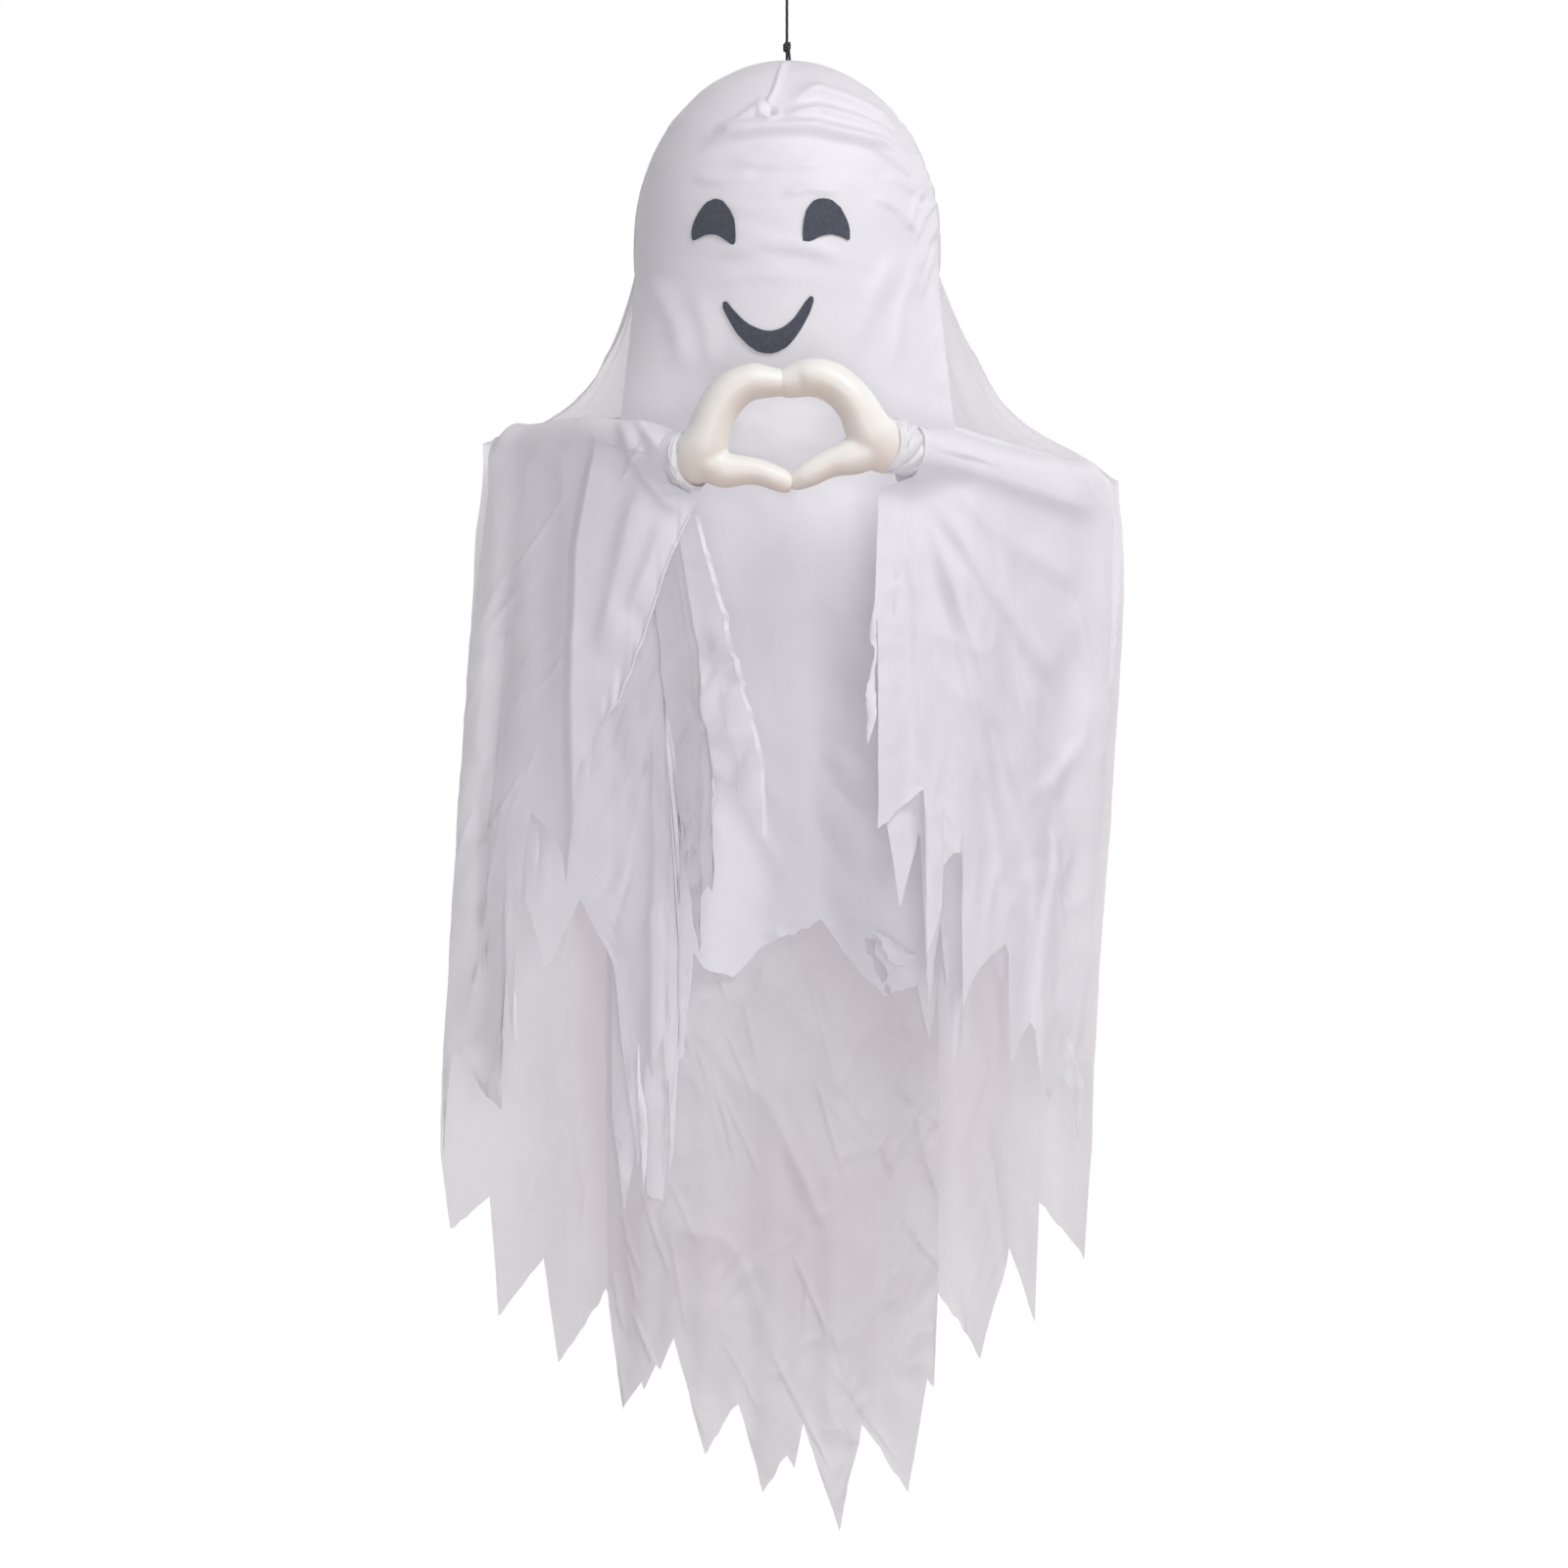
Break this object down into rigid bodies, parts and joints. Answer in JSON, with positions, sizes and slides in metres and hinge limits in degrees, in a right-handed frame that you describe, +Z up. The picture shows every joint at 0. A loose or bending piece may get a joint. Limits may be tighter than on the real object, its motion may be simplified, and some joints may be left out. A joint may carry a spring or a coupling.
{
  "type": "hanging ghost decoration",
  "caption": "Hanging cloth ghost with an egg-shaped head, a smiling face, moulded hands joined as a heart and layered robe panels with jagged hems.",
  "frame": {"origin": "where a hook bears inside the top of the hanging loop", "axes": "+Z up along the cord, +X towards the ghost's left hand side as the viewer's right, -Y the way the face looks"},
  "size_m": [0.5628, 0.3211, 1.3087],
  "materials": {
    "cloth": "thin white polyester",
    "felt": "dark grey flat patch",
    "vinyl": "satin cream moulded vinyl",
    "foam": "white foam",
    "wire": "galvanised",
    "cord": "black braided nylon"
  },
  "bodies": {
    "root": {"hanging_loop": "cord", "loop_knot": "cord", "hanging_cord": "cord", "cord_knot": "cord", "head_form": "foam", "arm_wire": "wire", "left_upper_arm": "foam", "left_forearm": "foam", "right_upper_arm": "foam", "right_forearm": "foam", "left_hand": "vinyl", "right_hand": "vinyl", "front_gown": "cloth", "under_panel": "cloth", "hooded_cape": "cloth", "left_sleeve": "cloth", "right_sleeve": "cloth", "left_cuff": "cloth", "right_cuff": "cloth", "left_eye": "felt", "right_eye": "felt", "mouth": "felt"}
  },
  "joints": []
}
